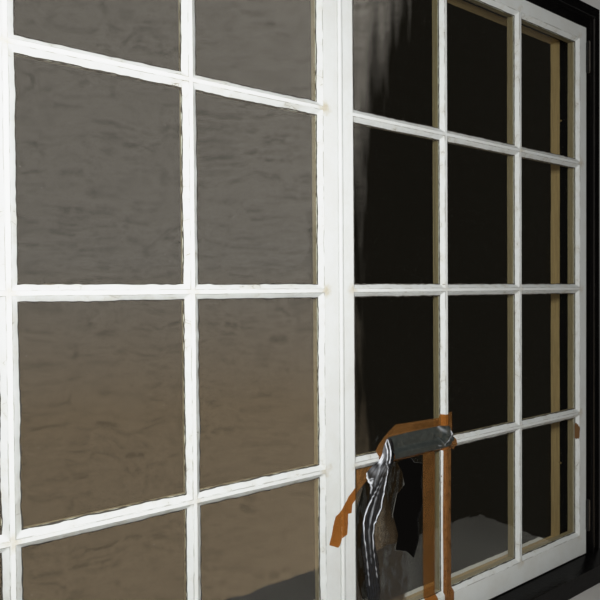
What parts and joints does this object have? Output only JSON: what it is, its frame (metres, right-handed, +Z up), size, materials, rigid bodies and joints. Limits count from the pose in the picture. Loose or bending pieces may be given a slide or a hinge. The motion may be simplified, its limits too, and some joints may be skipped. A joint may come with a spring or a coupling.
{
  "type": "small-paned casement sash window",
  "caption": "Pair of white putty-glazed small-paned sashes, side hung in a black timber frame with a sill; one pane is smashed and patched with tape and a bag.",
  "frame": {"origin": "on the underside of the sill, midway along the window, in the plane of the frame's outer face", "axes": "+X to the right along the window as seen from outside, +Y inwards through the wall, +Z up"},
  "size_m": [1.7224, 0.137, 1.452],
  "materials": {
    "white_oil_paint": "hand-brushed white oil paint on softwood",
    "black_gloss_paint": "black gloss paint on softwood",
    "painted_putty": "linseed putty under white paint, wavy by hand",
    "window_glass": "clear sheet glass, slightly wavy",
    "painted_iron": "hinge iron under old paint",
    "steel": "dull countersunk screws",
    "bolt_steel": "japanned steel worn at the edges",
    "brass": "aged cast brass",
    "brown_tape": "brown see-through packing tape",
    "duct_tape": "dark cloth-backed tape with a soft sheen",
    "black_polythene": "thin black polythene in sharp shiny folds"
  },
  "bodies": {
    "frame": {"sill": "black_gloss_paint", "head": "black_gloss_paint", "left_jamb": "black_gloss_paint", "right_jamb": "black_gloss_paint", "frame_screws": "steel", "left_top_hinge_frame_plate": "painted_iron", "left_top_hinge_pin": "painted_iron", "left_bottom_hinge_frame_plate": "painted_iron", "left_bottom_hinge_pin": "painted_iron", "right_top_hinge_frame_plate": "painted_iron", "right_top_hinge_pin": "painted_iron", "right_bottom_hinge_frame_plate": "painted_iron", "right_bottom_hinge_pin": "painted_iron"},
    "left_sash": {"left_meeting_stile": "white_oil_paint", "left_hinge_stile": "white_oil_paint", "left_top_rail": "white_oil_paint", "left_bottom_rail": "white_oil_paint", "left_upright_bar_1": "white_oil_paint", "left_upright_bar_2": "white_oil_paint", "left_cross_bar_1": "white_oil_paint", "left_cross_bar_2": "white_oil_paint", "left_cross_bar_3": "white_oil_paint", "left_panes_row_1": "window_glass", "left_panes_row_2": "window_glass", "left_panes_row_3": "window_glass", "left_panes_row_4": "window_glass", "left_putty": "painted_putty", "left_screws": "steel", "top_bolt_plate": "bolt_steel", "bottom_bolt_plate": "bolt_steel", "strike_plate": "bolt_steel", "brown_tape_left_end": "brown_tape", "left_top_hinge_sash_plate": "painted_iron", "left_bottom_hinge_sash_plate": "painted_iron"},
    "right_sash": {"right_meeting_stile": "white_oil_paint", "right_hinge_stile": "white_oil_paint", "right_top_rail": "white_oil_paint", "right_bottom_rail": "white_oil_paint", "right_upright_bar_1": "white_oil_paint", "right_upright_bar_2": "white_oil_paint", "right_cross_bar_1": "white_oil_paint", "right_cross_bar_2": "white_oil_paint", "right_cross_bar_3": "white_oil_paint", "right_panes_row_1": "window_glass", "right_panes_row_2": "window_glass", "right_panes_row_3": "window_glass", "right_panes_row_4": "window_glass", "right_putty": "painted_putty", "right_screws": "steel", "broken_pane": "window_glass", "fastener_plate": "brass", "brown_tape_band": "brown_tape", "brown_tape_strips": "brown_tape", "duct_tape": "duct_tape", "bag": "black_polythene", "right_top_hinge_sash_plate": "painted_iron", "right_bottom_hinge_sash_plate": "painted_iron"},
    "top_bolt": {"top_bolt_rod": "bolt_steel"},
    "bottom_bolt": {"bottom_bolt_rod": "bolt_steel"},
    "fastener": {"fastener_handle": "brass"}
  },
  "joints": [
    {"name": "left_sash_hinge", "type": "hinge", "parent": "frame", "child": "left_sash", "pos_m": [-0.80025, -0.005, 0.7215], "axis": [0, 0, -1], "range_deg": [0, 110]},
    {"name": "right_sash_hinge", "type": "hinge", "parent": "frame", "child": "right_sash", "pos_m": [0.80025, -0.005, 0.7215], "axis": [0, 0, 1], "range_deg": [0, 110]},
    {"name": "top_bolt_slide", "type": "slide", "parent": "left_sash", "child": "top_bolt", "axis": [0, 0, 1], "range_m": [0, 0.022]},
    {"name": "bottom_bolt_slide", "type": "slide", "parent": "left_sash", "child": "bottom_bolt", "axis": [0, 0, -1], "range_m": [0, 0.022]},
    {"name": "fastener_turn", "type": "hinge", "parent": "right_sash", "child": "fastener", "pos_m": [0.01775, 0.045, 0.7315], "axis": [0, 1, 0], "range_deg": [0, 90]}
  ]
}
